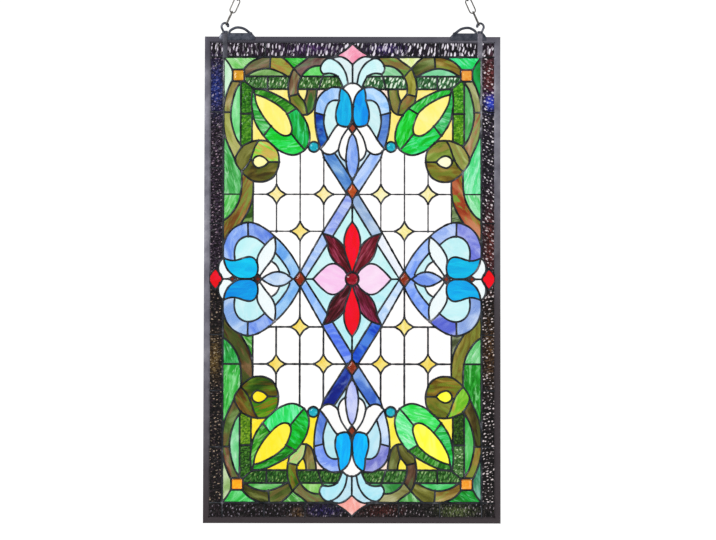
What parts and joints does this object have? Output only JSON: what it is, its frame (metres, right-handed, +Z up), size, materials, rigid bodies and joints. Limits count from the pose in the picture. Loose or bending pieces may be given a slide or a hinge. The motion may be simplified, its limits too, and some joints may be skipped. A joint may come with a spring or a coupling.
{
  "type": "stained glass suncatcher",
  "caption": "Tall leaded stained glass panel of flower, leaf and vine ornament in a metal channel frame, hung by short chains and hooks.",
  "frame": {"origin": "midway between the bearing points of the two hanging hooks, so the whole object hangs below it", "axes": "+Z up, +X to the right seen from the front, the front of the panel faces -Y"},
  "size_m": [0.508, 0.0123, 0.9412],
  "materials": {
    "pale_glass": "sheet glass in many pale and green tints, hand rolled, slightly wavy",
    "red_glass": "cathedral glass, bright red",
    "dark_red_glass": "cathedral glass, wine red",
    "pink_glass": "opalescent glass, pale pink",
    "turquoise_glass": "cathedral glass, turquoise",
    "teal_glass": "pressed faceted jewel, teal",
    "yellow_glass": "opalescent glass, lemon yellow",
    "amber_glass": "pressed square jewel, amber",
    "brown_glass": "pressed diamond jewel, brown",
    "solder": "tin-lead solder over copper foil, dark patina with bright rubbed spots",
    "zinc_channel": "extruded zinc channel with a dark bronze patina",
    "chain_steel": "bent steel wire, dull grey"
  },
  "bodies": {
    "root": {"glass_field": "pale_glass", "lead_lines": "solder", "petal_red_top": "red_glass", "petal_red_bottom": "red_glass", "petal_dark_red_top_left": "dark_red_glass", "petal_dark_red_top_right": "dark_red_glass", "petal_dark_red_bottom_left": "dark_red_glass", "petal_dark_red_bottom_right": "dark_red_glass", "petal_pink_left": "pink_glass", "petal_pink_right": "pink_glass", "petal_turquoise_end_top_left": "turquoise_glass", "petal_turquoise_end_top_right": "turquoise_glass", "petal_turquoise_end_bottom_left": "turquoise_glass", "petal_turquoise_end_bottom_right": "turquoise_glass", "petal_turquoise_side_top_left": "turquoise_glass", "petal_turquoise_side_top_right": "turquoise_glass", "petal_turquoise_side_bottom_left": "turquoise_glass", "petal_turquoise_side_bottom_right": "turquoise_glass", "leaf_heart_top_left": "yellow_glass", "leaf_heart_top_right": "yellow_glass", "leaf_heart_bottom_left": "yellow_glass", "leaf_heart_bottom_right": "yellow_glass", "kite_pink_top": "pink_glass", "kite_pink_bottom": "pink_glass", "kite_red_left": "red_glass", "kite_red_right": "red_glass", "jewel_centre": "red_glass", "jewel_round_top_left": "teal_glass", "jewel_round_top_right": "teal_glass", "jewel_round_bottom_left": "teal_glass", "jewel_round_bottom_right": "teal_glass", "jewel_square_top_left": "amber_glass", "jewel_square_top_right": "amber_glass", "jewel_square_bottom_left": "amber_glass", "jewel_square_bottom_right": "amber_glass", "jewel_diamond_top": "brown_glass", "jewel_diamond_bottom": "brown_glass", "jewel_diamond_left": "brown_glass", "jewel_diamond_right": "brown_glass", "frame_bottom": "zinc_channel", "frame_top": "zinc_channel", "frame_left": "zinc_channel", "frame_right": "zinc_channel", "hanger_left": "zinc_channel", "chain_link_left_1": "chain_steel", "chain_link_left_2": "chain_steel", "chain_link_left_3": "chain_steel", "hanging_hook_left": "chain_steel", "hanger_right": "zinc_channel", "chain_link_right_1": "chain_steel", "chain_link_right_2": "chain_steel", "chain_link_right_3": "chain_steel", "hanging_hook_right": "chain_steel"}
  },
  "joints": []
}
